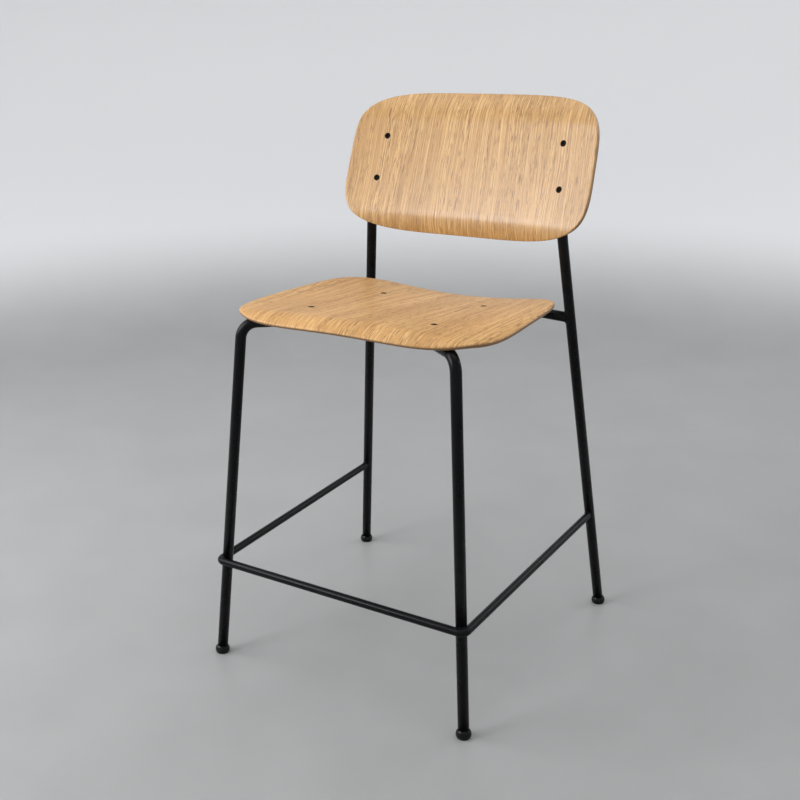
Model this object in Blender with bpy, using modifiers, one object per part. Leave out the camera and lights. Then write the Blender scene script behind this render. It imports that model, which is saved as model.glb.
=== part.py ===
"""Counter-height bar stool: two moulded plywood shells on a bent steel tube frame with a footrest rod.

Metres, +Z up. The origin is on the floor under the middle of the stool, the sitter faces -Y,
and "left" is -X and "right" is +X, as seen by someone who stands in front of the stool.
"""

from math import asin, ceil, cos, pi, radians, sin, sqrt, tan

import bmesh
import bpy
from mathutils import Matrix, Vector

# Clearances
GAP = 0.0003  # left between two pieces that touch
HOLE_PLAY = 0.0003  # radial play of a screw or an insert in its hole

# Frame stock
TUBE_RADIUS = 0.0095
TUBE_WALL = 0.0015
ROD_RADIUS = 0.0070
TUBE_SIDES = 12
ROD_SIDES = 12
BEND_STEP = radians(13)  # most turn between two rings of a bend

# Front legs, each bent at the top into an under-seat rail
FRONT_FOOT_X = 0.2573
FRONT_FOOT_Y = -0.2742
FRONT_CORNER_X = 0.2086  # where the leg turns in under the seat
FRONT_CORNER_Y = -0.2215
FRONT_LIP_GAP = 0.0030  # between the seat's underside and the crown of the tube as it leaves the bend
FRONT_BEND_RADIUS = 0.0300
RAIL_FRONT_OVERHANG = 0.0270  # rail's front corner ahead of the front seat screw
RAIL_FRONT_BEND_RADIUS = 0.0420
RAIL_REAR_OVERHANG = 0.1300  # rail's rear corner behind the rear seat screw
RAIL_REAR_BEND_RADIUS = 0.0720
RAIL_DROP = 0.0065  # the rail's rear corner above its weld to the rear leg

# Rear legs, each bent backwards behind the backrest
REAR_FOOT_X = 0.2814
REAR_FOOT_Y = 0.2586
REAR_BEND_ABOVE_SEAT = 0.1158
REAR_BEND_RADIUS = 0.0600
UPRIGHT_TOP_OVERHANG = 0.0300  # upright above the upper backrest screw

# Footrest rod, wrapped round the front legs and welded to the rear ones
FOOTREST_FRONT_Z = 0.1890
FOOTREST_REAR_Z = 0.1990
FOOTREST_NOTCH = 0.0053  # how far each front leg is let into the rod

# Flat cross plates between the rails
PLATE_WIDTH = 0.0250
PLATE_THICKNESS = 0.0040
PLATE_FROM_SCREW = 0.0330  # centre of each plate inwards from its pair of seat screws

# Plywood
SHELL_THICKNESS = 0.0080
SHELL_EDGE_ROUND = 0.0030
SHELL_CELLS_ACROSS = 20
SHELL_CELLS_ALONG = 28
SURFACE_STEP = 0.0005  # half the step over which a shell's slope is taken

# Seat shell, whose height is SEAT_HEIGHT at x = 0, y = 0
SEAT_HEIGHT = 0.6392
SEAT_HALF_WIDTH = 0.2449
SEAT_TAPER = -0.0176  # half width gained from the middle to the rear edge
SEAT_FRONT_Y = -0.2416
SEAT_REAR_Y = 0.1848
SEAT_CORNER_POWER = 4.3  # 2 is an ellipse, more is squarer
SEAT_TILT = -0.0966  # rise for each metre towards the rear
SEAT_DISH = 0.0073  # rise of the side edges at mid depth
SEAT_DISH_GAIN = 0.0219  # what that rise gains at the rear edge and loses at the front one
SEAT_LIP_DROP = 0.0174
SEAT_LIP_LENGTH = 0.0460

# Backrest shell, whose centre lies BACK_CENTRE_Y behind the origin and BACK_CENTRE_RISE above the seat
BACK_CENTRE_Y = 0.2142
BACK_CENTRE_RISE = 0.2225
BACK_HALF_WIDTH = 0.2547
BACK_HALF_HEIGHT = 0.1282
BACK_TAPER = -0.0036  # half width gained from the middle to the top edge
BACK_TOP_CORNER_POWER = 4.9
BACK_BOTTOM_CORNER_POWER = 3.7
BACK_LEAN = 0.3683  # run backwards for each metre of height
BACK_WRAP = 0.4268  # forward sweep of the sides, for each square metre off the middle
BACK_TOP_ROLL = 0.0214
BACK_TOP_ROLL_LENGTH = 0.0515
BACK_BOTTOM_ROLL = 0.0170
BACK_BOTTOM_ROLL_LENGTH = 0.0460

# Fixings: (distance from the middle plane, distance along the shell) of each screw
SEAT_SCREW_FRONT = (0.1223, -0.1364)
SEAT_SCREW_REAR = (0.1053, 0.0713)
BACK_SCREW_UPPER = (0.1842, 0.0485)
BACK_SCREW_LOWER = (0.1918, -0.0289)
SEAT_SPACER_LENGTH = 0.0025  # shell to the crown of the tube
BACK_SPACER_LENGTH = 0.0080
SPACER_RADIUS = 0.0080
SPACER_SIDES = 16
SCREW_RADIUS = 0.0030
SCREW_LENGTH = 0.0240
SCREW_HEAD_RADIUS = 0.0056
SCREW_HEAD_HEIGHT = 0.0031
SCREW_RIM = 0.0004
SCREW_TIP = 0.0010  # length of the chamfered tip
SCREW_SINK = 0.0003  # top of the head below the shell's face
SOCKET_RADIUS = 0.0023
SOCKET_DEPTH = 0.0020
INSERT_WALL = 0.0009
INSERT_LENGTH = 0.0100
INSERT_FLANGE_RADIUS = 0.0052
INSERT_FLANGE_HEIGHT = 0.0010
FIXING_SIDES = 12
SADDLE_SIDES = 24  # cylinders that shape one piece to a tube

# Foot glides and the caps on the uprights, both with a stem that plugs into the tube
GLIDE_RADIUS = 0.0132
GLIDE_BELLY_HEIGHT = 0.0060  # widest place above the floor
GLIDE_HALF_HEIGHT = 0.0120  # half height of the ellipse that its side follows
GLIDE_HEAD_HEIGHT = 0.0140
GLIDE_BELOW_FLOOR = 0.0042  # what is cut off the rounded head to make its flat
GLIDE_HEAD_STEPS = 6
GLIDE_SIDES = 20
STEM_LENGTH = 0.0200
STEM_CHAMFER = 0.0010
CAP_HEIGHT = 0.0035
CAP_RIM = 0.0014  # straight side below the dome
CAP_STEPS = 4
CAP_SIDES = 16

# The block that stands for the floor when the glides are cut flat
FLOOR_REACH = 0.5000  # to each side of the origin
FLOOR_DEPTH = 0.1000

SIDES = (("left", -1), ("right", 1))
SEAT_ROWS = (("front", SEAT_SCREW_FRONT), ("rear", SEAT_SCREW_REAR))
BACK_ROWS = (("upper", BACK_SCREW_UPPER), ("lower", BACK_SCREW_LOWER))


# --- scene, collections and materials -------------------------------------------------------


def clear_scene():
    for old in list(bpy.data.objects):
        bpy.data.objects.remove(old, do_unlink=True)


def new_collection(name):
    made = bpy.data.collections.new(name)
    bpy.context.scene.collection.children.link(made)
    return made


def new_material(name, colour, roughness, metallic):
    made = bpy.data.materials.new(name)
    made.use_nodes = True
    shader = made.node_tree.nodes["Principled BSDF"]
    shader.inputs["Base Color"].default_value = (*colour, 1)
    shader.inputs["Roughness"].default_value = roughness
    shader.inputs["Metallic"].default_value = metallic
    return made


def add_part(name, data, material, matrix=None):
    """A visible piece of the stool."""
    made = bpy.data.objects.new(name, data)
    data.materials.append(material)
    parts.objects.link(made)
    made.parent = stool
    if matrix:
        made.matrix_world = matrix
    return made


def add_cutter(name, data, matrix=None):
    """A helper that only cuts other pieces."""
    made = bpy.data.objects.new(name, data)
    made.hide_render = True
    made.display_type = "WIRE"
    cutters.objects.link(made)
    if matrix:
        made.matrix_world = matrix
    return made


def cut(piece, cutter):
    step = piece.modifiers.new("cut_" + cutter.name, "BOOLEAN")
    step.operation = "DIFFERENCE"
    step.solver = "EXACT"
    step.object = cutter


# --- geometry helpers -----------------------------------------------------------------------


def along(origin, axis):
    """A matrix that puts a shape made about +Z at origin, with +Z along axis."""
    turn = Vector(axis).to_track_quat("Z", "Y").to_matrix().to_4x4()
    return Matrix.Translation(origin) @ turn


def mirrored(point, side):
    return Vector((side * point[0], point[1], point[2]))


def arc(before, corner, after, radius):
    """Points of the round bend that takes the corner's place on a bent path."""
    arrive = (before - corner).normalized()
    leave = (after - corner).normalized()
    half = arrive.angle(leave) / 2
    turn = pi - 2 * half
    centre = corner + (arrive + leave).normalized() * radius / sin(half)
    start = corner + arrive * radius / tan(half) - centre
    end = corner + leave * radius / tan(half) - centre
    steps = ceil(turn / BEND_STEP)
    fractions = [i / steps for i in range(steps + 1)]
    return [centre + (start * sin((1 - t) * turn) + end * sin(t * turn)) / sin(turn) for t in fractions]


def bent_path(corners, radii):
    """The ends of a path and its bends, with radii one for each inner corner."""
    path = [corners[0]]
    for before, corner, after, radius in zip(corners, corners[1:], corners[2:], radii):
        path.extend(arc(before, corner, after, radius))
    path.append(corners[-1])
    return path


def swept_mesh(name, path, radius, sides, capped):
    """A mesh of a round bar along the path."""
    curve = bpy.data.curves.new(name, "CURVE")
    curve.dimensions = "3D"
    curve.bevel_depth = radius
    curve.bevel_resolution = (sides - 4) // 2
    curve.use_fill_caps = capped
    spline = curve.splines.new("POLY")
    spline.points.add(len(path) - 1)
    for point, place in zip(spline.points, path):
        point.co = (*place, 1)
    guide = bpy.data.objects.new(name + "_guide", curve)
    cutters.objects.link(guide)
    graph = bpy.context.evaluated_depsgraph_get()
    mesh = bpy.data.meshes.new_from_object(guide.evaluated_get(graph))
    bpy.data.objects.remove(guide)
    bpy.data.curves.remove(curve)
    mesh.name = name
    shape = bmesh.new()
    shape.from_mesh(mesh)
    bmesh.ops.remove_doubles(shape, verts=shape.verts, dist=0.00001)
    shape.to_mesh(mesh)
    shape.free()
    shade(mesh)
    return mesh


def cylinder_mesh(name, radius, bottom, top, sides):
    """A cylinder about +Z between two heights."""
    mesh = bpy.data.meshes.new(name)
    shape = bmesh.new()
    middle = Matrix.Translation((0, 0, (bottom + top) / 2))
    bmesh.ops.create_cone(
        shape,
        cap_ends=True,
        segments=sides,
        radius1=radius,
        radius2=radius,
        depth=top - bottom,
        matrix=middle,
    )
    shape.to_mesh(mesh)
    shape.free()
    return mesh


def box_mesh(name, size_x, size_y, size_z):
    mesh = bpy.data.meshes.new(name)
    shape = bmesh.new()
    bmesh.ops.create_cube(shape, size=1, matrix=Matrix.Diagonal((size_x, size_y, size_z, 1)))
    shape.to_mesh(mesh)
    shape.free()
    return mesh


def profile_mesh(name, profile, closed):
    """The (radius, height) outline of a turned piece, outer side first and downwards."""
    mesh = bpy.data.meshes.new(name)
    count = len(profile)
    edges = [(i, (i + 1) % count) for i in range(count if closed else count - 1)]
    mesh.from_pydata([(radius, 0, height) for radius, height in profile], edges, [])
    return mesh


def turn_profile(piece, sides):
    """Turns the piece's profile about its own +Z."""
    turned = piece.modifiers.new("turn", "SCREW")
    turned.axis = "Z"
    turned.steps = sides
    turned.render_steps = sides
    turned.use_merge_vertices = True
    turned.merge_threshold = 0.00001
    turned.use_smooth_shade = True


def shade(mesh):
    mesh.shade_smooth()
    mesh.set_sharp_from_angle(angle=radians(35))


# --- the two plywood surfaces ---------------------------------------------------------------


def seat_point(x, y):
    """The seat's top face at x, y."""
    middle = (SEAT_FRONT_Y + SEAT_REAR_Y) / 2
    half_depth = (SEAT_REAR_Y - SEAT_FRONT_Y) / 2
    dish = SEAT_DISH + SEAT_DISH_GAIN * (y - middle) / half_depth
    lip = max(0, (SEAT_FRONT_Y + SEAT_LIP_LENGTH - y) / SEAT_LIP_LENGTH)
    z = SEAT_HEIGHT + SEAT_TILT * y + dish * (x / SEAT_HALF_WIDTH) ** 2 - SEAT_LIP_DROP * lip**2
    return Vector((x, y, z))


def back_point(x, rise):
    """The backrest's front face at x, at a height above its centre."""
    top = max(0, 1 - (BACK_HALF_HEIGHT - rise) / BACK_TOP_ROLL_LENGTH)
    bottom = max(0, 1 - (BACK_HALF_HEIGHT + rise) / BACK_BOTTOM_ROLL_LENGTH)
    y = BACK_CENTRE_Y + BACK_LEAN * rise - BACK_WRAP * x**2
    y += BACK_TOP_ROLL * top**2 + BACK_BOTTOM_ROLL * bottom**2
    return Vector((x, y, SEAT_HEIGHT + BACK_CENTRE_RISE + rise))


def face_normal(surface, x, along_shell):
    """The outward normal of a shell's face, towards the sitter."""
    step = SURFACE_STEP
    across = surface(x + step, along_shell) - surface(x - step, along_shell)
    onward = surface(x, along_shell + step) - surface(x, along_shell - step)
    return across.cross(onward).normalized()


def rounded(u, v, lower_power, upper_power):
    """Moves a point of the square from -1 to 1 into a square with soft corners."""
    reach = max(abs(u), abs(v))
    if reach == 0:
        return 0, 0
    power = upper_power if v > 0 else lower_power
    shrink = (abs(u / reach) ** power + abs(v / reach) ** power) ** (-1 / power)
    return u * shrink, v * shrink


def seat_plan(u, v):
    u, v = rounded(u, v, SEAT_CORNER_POWER, SEAT_CORNER_POWER)
    middle = (SEAT_FRONT_Y + SEAT_REAR_Y) / 2
    half_depth = (SEAT_REAR_Y - SEAT_FRONT_Y) / 2
    return seat_point(u * (SEAT_HALF_WIDTH + SEAT_TAPER * v), middle + half_depth * v)


def back_plan(u, v):
    u, v = rounded(u, v, BACK_BOTTOM_CORNER_POWER, BACK_TOP_CORNER_POWER)
    return back_point(u * (BACK_HALF_WIDTH + BACK_TAPER * v), BACK_HALF_HEIGHT * v)


def add_shell(name, plan, material):
    """A sheet bent over the plan, thickened away from the sitter, with its edges rounded."""
    mesh = bpy.data.meshes.new(name)
    shape = bmesh.new()
    bmesh.ops.create_grid(shape, x_segments=SHELL_CELLS_ACROSS, y_segments=SHELL_CELLS_ALONG, size=1)
    for corner in shape.verts:
        corner.co = plan(corner.co.x, corner.co.y)
    shape.to_mesh(mesh)
    shape.free()
    mesh.shade_smooth()
    made = add_part(name, mesh, material)
    thicken = made.modifiers.new("plies", "SOLIDIFY")
    thicken.thickness = SHELL_THICKNESS
    thicken.offset = -1
    thicken.use_even_offset = True
    soften = made.modifiers.new("soft_edge", "BEVEL")
    soften.width = SHELL_EDGE_ROUND
    soften.segments = 2
    soften.limit_method = "ANGLE"
    soften.angle_limit = radians(50)
    return made


# --- where the fixings and the tubes lie ----------------------------------------------------


def fixing(surface, place, spacer_length, side):
    """(face point, outward normal, point on the tube's axis) of one screw."""
    face = surface(*place)
    normal = face_normal(surface, *place)
    depth = SHELL_THICKNESS + spacer_length + TUBE_RADIUS
    return tuple(mirrored(vector, side) for vector in (face, normal, face - normal * depth))


def seat_fixing(place, side):
    return fixing(seat_point, place, SEAT_SPACER_LENGTH, side)


def back_fixing(place, side):
    return fixing(back_point, place, BACK_SPACER_LENGTH, side)


def rail_ends():
    """The front and rear corners of the right rail, on the line under its two screws."""
    front = seat_fixing(SEAT_SCREW_FRONT, 1)[2]
    rear = seat_fixing(SEAT_SCREW_REAR, 1)[2]
    run = (rear - front).normalized()
    return front - run * RAIL_FRONT_OVERHANG, rear + run * RAIL_REAR_OVERHANG


def front_corner():
    """The corner where the right front leg turns in, as high as its tube fits under the seat's lip."""
    corner = Vector((FRONT_CORNER_X, FRONT_CORNER_Y, 0))
    rail_front = rail_ends()[0]
    share = FRONT_BEND_RADIUS / (rail_front - corner).to_2d().length
    bend_end = corner.lerp(rail_front, share)
    depth = SHELL_THICKNESS + FRONT_LIP_GAP + TUBE_RADIUS
    under = seat_point(bend_end.x, bend_end.y) - face_normal(seat_point, bend_end.x, bend_end.y) * depth
    corner.z = (under.z - rail_front.z * share) / (1 - share)
    return corner


def front_leg_at(z):
    """The right front leg's axis at a height."""
    foot = Vector((FRONT_FOOT_X, FRONT_FOOT_Y, 0))
    corner = front_corner()
    return foot + (corner - foot) * z / corner.z


def rear_bend():
    """The corner of the right rear leg, on the line behind the backrest's screws."""
    lower = back_fixing(BACK_SCREW_LOWER, 1)[2]
    upper = back_fixing(BACK_SCREW_UPPER, 1)[2]
    share = (SEAT_HEIGHT + REAR_BEND_ABOVE_SEAT - lower.z) / (upper.z - lower.z)
    return lower + (upper - lower) * share


def rear_leg_at(z):
    """The right rear leg's axis at a height below its bend."""
    foot = Vector((REAR_FOOT_X, REAR_FOOT_Y, 0))
    bend = rear_bend()
    return foot + (bend - foot) * z / bend.z


def above_glide(foot, toward):
    """The lower end of a leg's tube, on top of the glide's head."""
    return foot + (toward - foot).normalized() * (GLIDE_HEAD_HEIGHT + GAP)


def rail_run():
    """The direction of the right rail under the seat."""
    front, rear = rail_ends()
    return (rear - front).normalized()


def upright_run():
    """The direction of the right upright behind the backrest."""
    return (back_fixing(BACK_SCREW_UPPER, 1)[2] - rear_bend()).normalized()


# --- the steel frame ------------------------------------------------------------------------


def hollow_tube(name, path, material):
    made = add_part(name, swept_mesh(name, path, TUBE_RADIUS, TUBE_SIDES, False), material)
    wall = made.modifiers.new("wall", "SOLIDIFY")
    wall.thickness = TUBE_WALL
    wall.offset = -1
    wall.use_even_offset = True
    return made


def leg_cutter(name, low, high):
    """A cylinder as wide as a leg and its gap, to shape what is welded to it."""
    radius = (TUBE_RADIUS + GAP) / cos(pi / TUBE_SIDES)
    mesh = cylinder_mesh(name, radius, 0, (high - low).length, SADDLE_SIDES)
    return add_cutter(name, mesh, along(low, high - low))


def add_side_tube(label, side, rear_cutter):
    """Front leg and under-seat rail, one tube bent three times."""
    rail_front, rail_rear = rail_ends()
    corner = front_corner()
    start = above_glide(front_leg_at(0), corner)
    end = rear_leg_at(rail_rear.z - RAIL_DROP)
    corners = [mirrored(point, side) for point in (start, corner, rail_front, rail_rear, end)]
    radii = (FRONT_BEND_RADIUS, RAIL_FRONT_BEND_RADIUS, RAIL_REAR_BEND_RADIUS)
    tube = hollow_tube("side_tube_" + label, bent_path(corners, radii), painted_steel)
    cut(tube, rear_cutter)
    for row, place in SEAT_ROWS:
        cut_insert_hole(tube, f"seat_insert_hole_{row}_{label}", seat_fixing(place, side))


def add_rear_leg(label, side):
    """Rear leg and backrest upright, one tube bent once."""
    bend = rear_bend()
    start = above_glide(rear_leg_at(0), bend)
    top = back_fixing(BACK_SCREW_UPPER, 1)[2] + upright_run() * UPRIGHT_TOP_OVERHANG
    corners = [mirrored(point, side) for point in (start, bend, top)]
    path = bent_path(corners, (REAR_BEND_RADIUS,))
    tube = hollow_tube("rear_leg_" + label, path, painted_steel)
    for row, place in BACK_ROWS:
        cut_insert_hole(tube, f"back_insert_hole_{row}_{label}", back_fixing(place, side))
    return mirrored(top, side)


def cut_insert_hole(tube, name, place):
    _, normal, axis_point = place
    radius = SCREW_RADIUS + HOLE_PLAY + INSERT_WALL + HOLE_PLAY
    mesh = cylinder_mesh(name, radius / cos(pi / FIXING_SIDES), 0, 2 * TUBE_RADIUS, FIXING_SIDES)
    cut(tube, add_cutter(name, mesh, along(axis_point, normal)))


def footrest_corner(leg, end, offset):
    """The right corner of the footrest, so that both runs pass the leg's axis at the same offset."""
    run = (leg - end).to_2d()
    run = Matrix.Rotation(asin(offset / run.length), 2) @ run
    share = (leg.y - offset - end.y) / run.y
    return Vector((end.x + run.x * share, leg.y - offset, leg.z))


def add_footrest(leg_cutters):
    """A solid rod, notched for the outside of both front legs, that ends on the rear legs."""
    lean = front_leg_at(1) - front_leg_at(0)
    offset = (TUBE_RADIUS + ROD_RADIUS - FOOTREST_NOTCH) * lean.length
    end = rear_leg_at(FOOTREST_REAR_Z)
    corner = footrest_corner(front_leg_at(FOOTREST_FRONT_Z), end, offset)
    corners = [mirrored(end, -1), mirrored(corner, -1), corner, end]
    path = bent_path(corners, (offset, offset))
    mesh = swept_mesh("footrest_rod", path, ROD_RADIUS, ROD_SIDES, True)
    rod = add_part("footrest_rod", mesh, painted_steel)
    for cutter in leg_cutters:
        cut(rod, cutter)


def add_cross_plate(name, screw_place, inward, rail_cutters):
    """A flat steel plate between the rails, shaped to them at its ends."""
    run = rail_run()
    middle = seat_fixing(screw_place, 1)[2] + run * inward * PLATE_FROM_SCREW
    mesh = box_mesh(name, 2 * middle.x, PLATE_WIDTH, PLATE_THICKNESS)
    level_run = Vector((0, run.y, run.z)).normalized()
    tilt = Matrix.Rotation(Vector((0, 1, 0)).angle(level_run), 4, "X")
    if run.z < 0:
        tilt.transpose()
    plate = add_part(name, mesh, painted_steel, Matrix.Translation((0, middle.y, middle.z)) @ tilt)
    for cutter in rail_cutters:
        cut(plate, cutter)


def rail_cutter(label, side):
    """A cylinder as wide as a rail and its gap."""
    front, rear = (mirrored(point, side) for point in rail_ends())
    radius = (TUBE_RADIUS + GAP) / cos(pi / TUBE_SIDES)
    mesh = cylinder_mesh("rail_" + label, radius, 0, (rear - front).length, SADDLE_SIDES)
    return add_cutter("rail_" + label, mesh, along(front, rear - front))


# --- fixings --------------------------------------------------------------------------------


def cut_screw_hole(shell, name, place):
    """A clearance hole with a countersink that opens through the shell's face."""
    face, normal, _ = place
    shank = SCREW_RADIUS + HOLE_PLAY
    head = SCREW_HEAD_RADIUS + HOLE_PLAY
    above = SHELL_THICKNESS
    sink = SCREW_SINK + SCREW_RIM
    profile = [
        (0, above),
        (head, above),
        (head, -sink),
        (shank, -sink - (SCREW_HEAD_HEIGHT - SCREW_RIM)),
        (shank, -2 * SHELL_THICKNESS),
        (0, -2 * SHELL_THICKNESS),
    ]
    cutter = add_cutter(name, profile_mesh(name, profile, False), along(face, normal))
    turn_profile(cutter, FIXING_SIDES)
    cut(shell, cutter)


def add_screw(name, place):
    """A countersunk screw with a hexagon socket."""
    face, normal, _ = place
    profile = [
        (0, 0),
        (SCREW_HEAD_RADIUS, 0),
        (SCREW_HEAD_RADIUS, -SCREW_RIM),
        (SCREW_RADIUS, -SCREW_HEAD_HEIGHT),
        (SCREW_RADIUS, -SCREW_LENGTH + SCREW_TIP),
        (SCREW_RADIUS - SCREW_TIP, -SCREW_LENGTH),
        (0, -SCREW_LENGTH),
    ]
    top = face - normal * SCREW_SINK
    screw = add_part(name, profile_mesh(name, profile, False), black_screw, along(top, normal))
    turn_profile(screw, FIXING_SIDES)
    socket = cylinder_mesh(name + "_socket", SOCKET_RADIUS, -SOCKET_DEPTH, SOCKET_DEPTH, 6)
    cut(screw, add_cutter(name + "_socket", socket, along(top, normal)))


def add_insert(name, place):
    """A flanged threaded sleeve that sits in the tube's wall."""
    _, normal, axis_point = place
    bore = SCREW_RADIUS + HOLE_PLAY
    sleeve = bore + INSERT_WALL
    top = TUBE_RADIUS + GAP + INSERT_FLANGE_HEIGHT
    seat = TUBE_RADIUS + GAP
    bottom = seat - INSERT_LENGTH
    profile = [
        (INSERT_FLANGE_RADIUS, top),
        (INSERT_FLANGE_RADIUS, seat),
        (sleeve, seat),
        (sleeve, bottom),
        (bore, bottom),
        (bore, top),
    ]
    made = add_part(name, profile_mesh(name, profile, True), zinc_steel, along(axis_point, normal))
    turn_profile(made, FIXING_SIDES)


def add_spacer(name, place, length, tube_direction):
    """A plastic ring between shell and tube, with a saddle that fits the tube."""
    _, normal, axis_point = place
    bore = INSERT_FLANGE_RADIUS + HOLE_PLAY
    top = TUBE_RADIUS + length - GAP
    bottom = TUBE_RADIUS - SPACER_RADIUS / 2
    profile = [(SPACER_RADIUS, top), (SPACER_RADIUS, bottom), (bore, bottom), (bore, top)]
    made = add_part(name, profile_mesh(name, profile, True), black_plastic, along(axis_point, normal))
    turn_profile(made, SPACER_SIDES)
    radius = (TUBE_RADIUS + GAP) / cos(pi / TUBE_SIDES)
    reach = 2 * SPACER_RADIUS
    saddle = cylinder_mesh(name + "_saddle", radius, -reach, reach, SADDLE_SIDES)
    cut(made, add_cutter(name + "_saddle", saddle, along(axis_point, tube_direction)))


def add_fixings(shell, group, place_of, rows, spacer_length, tube_direction):
    """Screws, spacers and inserts of one shell, the same on both sides."""
    for label, side in SIDES:
        for row, place in rows:
            spot = place_of(place, side)
            ending = f"{row}_{label}"
            cut_screw_hole(shell, f"{group}_hole_{ending}", spot)
            add_screw(f"{group}_screw_{ending}", spot)
            add_spacer(f"{group}_spacer_{ending}", spot, spacer_length, mirrored(tube_direction, side))
            add_insert(f"{group}_insert_{ending}", spot)


# --- plastic ends of the tubes --------------------------------------------------------------


def stem_radius():
    """The widest round stem that clears the flats of the tube's bore."""
    return (TUBE_RADIUS - TUBE_WALL) * cos(pi / TUBE_SIDES) - GAP


def add_glide(name, foot, toward, floor):
    """A round-sided foot on the leg's axis, cut flat where it stands on the floor."""
    head = []
    for i in range(GLIDE_HEAD_STEPS + 1):
        height = GLIDE_HEAD_HEIGHT - (GLIDE_HEAD_HEIGHT + GLIDE_BELOW_FLOOR) * i / GLIDE_HEAD_STEPS
        share = (height - GLIDE_BELLY_HEIGHT) / GLIDE_HALF_HEIGHT
        head.append((GLIDE_RADIUS * sqrt(1 - share**2), height))
    stem_top = GLIDE_HEAD_HEIGHT + STEM_LENGTH
    stem = [
        (0, stem_top),
        (stem_radius() - STEM_CHAMFER, stem_top),
        (stem_radius(), stem_top - STEM_CHAMFER),
        (stem_radius(), GLIDE_HEAD_HEIGHT),
    ]
    profile = stem + head + [(0, head[-1][1])]
    made = add_part(name, profile_mesh(name, profile, False), black_plastic, along(foot, toward - foot))
    turn_profile(made, GLIDE_SIDES)
    cut(made, floor)


def add_cap(name, top, axis):
    """A domed plug in the upper end of an upright."""
    dome = []
    for i in range(CAP_STEPS + 1):
        angle = pi / 2 * i / CAP_STEPS
        dome.append((TUBE_RADIUS * sin(angle), GAP + CAP_RIM + (CAP_HEIGHT - CAP_RIM) * cos(angle)))
    stem = [
        (TUBE_RADIUS, GAP),
        (stem_radius(), GAP),
        (stem_radius(), -STEM_LENGTH + STEM_CHAMFER),
        (stem_radius() - STEM_CHAMFER, -STEM_LENGTH),
        (0, -STEM_LENGTH),
    ]
    made = add_part(name, profile_mesh(name, dome + stem, False), black_plastic, along(top, axis))
    turn_profile(made, CAP_SIDES)


# --- the stool ------------------------------------------------------------------------------

clear_scene()
parts = new_collection("bar_stool")
cutters = new_collection("cutters")
stool = bpy.data.objects.new("stool_origin", None)
parts.objects.link(stool)

oak_veneer = new_material("oak_veneer", (0.66, 0.43, 0.22), 0.45, 0.0)
painted_steel = new_material("black_powder_coat", (0.012, 0.012, 0.013), 0.42, 0.0)
black_plastic = new_material("black_plastic", (0.010, 0.010, 0.011), 0.35, 0.0)
black_screw = new_material("black_screw", (0.030, 0.028, 0.027), 0.40, 0.8)
zinc_steel = new_material("zinc_steel", (0.55, 0.56, 0.58), 0.35, 1.0)

floor_mesh = box_mesh("floor_block", 2 * FLOOR_REACH, 2 * FLOOR_REACH, FLOOR_DEPTH)
floor_block = add_cutter("floor_block", floor_mesh, Matrix.Translation((0, 0, -FLOOR_DEPTH / 2)))
front_legs = [[mirrored(point, side) for point in (front_leg_at(0), front_corner())] for _, side in SIDES]
rear_legs = [[mirrored(point, side) for point in (rear_leg_at(0), rear_bend())] for _, side in SIDES]
front_leg_cutters = [leg_cutter("front_leg_shape_" + side[0], *leg) for side, leg in zip(SIDES, front_legs)]
rear_leg_cutters = [leg_cutter("rear_leg_shape_" + side[0], *leg) for side, leg in zip(SIDES, rear_legs)]
rail_cutters = [rail_cutter(label, side) for label, side in SIDES]

for (label, side), front_leg, rear_leg, leg_shape in zip(SIDES, front_legs, rear_legs, rear_leg_cutters):
    add_side_tube(label, side, leg_shape)
    upright_top = add_rear_leg(label, side)
    add_cap("upright_cap_" + label, upright_top, mirrored(upright_run(), side))
    add_glide("foot_glide_front_" + label, *front_leg, floor_block)
    add_glide("foot_glide_rear_" + label, *rear_leg, floor_block)

add_footrest(front_leg_cutters + rear_leg_cutters)
add_cross_plate("front_cross_plate", SEAT_SCREW_FRONT, 1, rail_cutters)
add_cross_plate("rear_cross_plate", SEAT_SCREW_REAR, -1, rail_cutters)

seat_shell = add_shell("seat_shell", seat_plan, oak_veneer)
add_fixings(seat_shell, "seat", seat_fixing, SEAT_ROWS, SEAT_SPACER_LENGTH, rail_run())

backrest_shell = add_shell("backrest_shell", back_plan, oak_veneer)
add_fixings(backrest_shell, "back", back_fixing, BACK_ROWS, BACK_SPACER_LENGTH, upright_run())
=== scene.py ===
# %% [markdown]
# # A counter stool with a footrest, built cell by cell
# The stool is two moulded oak-veneered plywood shells on a slim frame of bent steel tube, coated black.
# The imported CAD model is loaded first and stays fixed: it says where each piece is and how big it may be.
# Each cell then builds one finer piece in the same place, gives it a finish and hides the plain CAD piece.

from math import asin, atan, ceil, cos, pi, radians, sin, sqrt, tan

import bmesh
import bpy
from mathutils import Matrix, Vector


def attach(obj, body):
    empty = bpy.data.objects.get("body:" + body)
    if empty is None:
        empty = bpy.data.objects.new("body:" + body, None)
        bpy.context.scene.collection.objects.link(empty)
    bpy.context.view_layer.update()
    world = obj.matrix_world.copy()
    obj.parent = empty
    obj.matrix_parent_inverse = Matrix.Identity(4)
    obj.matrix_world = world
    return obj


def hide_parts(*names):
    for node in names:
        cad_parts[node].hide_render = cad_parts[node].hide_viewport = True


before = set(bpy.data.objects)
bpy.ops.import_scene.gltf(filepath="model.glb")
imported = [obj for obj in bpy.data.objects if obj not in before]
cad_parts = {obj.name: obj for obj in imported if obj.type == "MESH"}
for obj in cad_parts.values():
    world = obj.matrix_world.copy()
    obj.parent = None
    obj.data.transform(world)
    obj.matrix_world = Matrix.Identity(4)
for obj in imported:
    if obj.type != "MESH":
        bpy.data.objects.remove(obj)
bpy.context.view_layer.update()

# %% [markdown]
# ## Camera
# A stool is usually shown a little from above and from its front right corner, so that seat, back and
# footrest all read. A Track To constraint could aim the camera, but three turns multiplied together keep
# the horizon's slight slope as well, and leave nothing to solve later.

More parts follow.
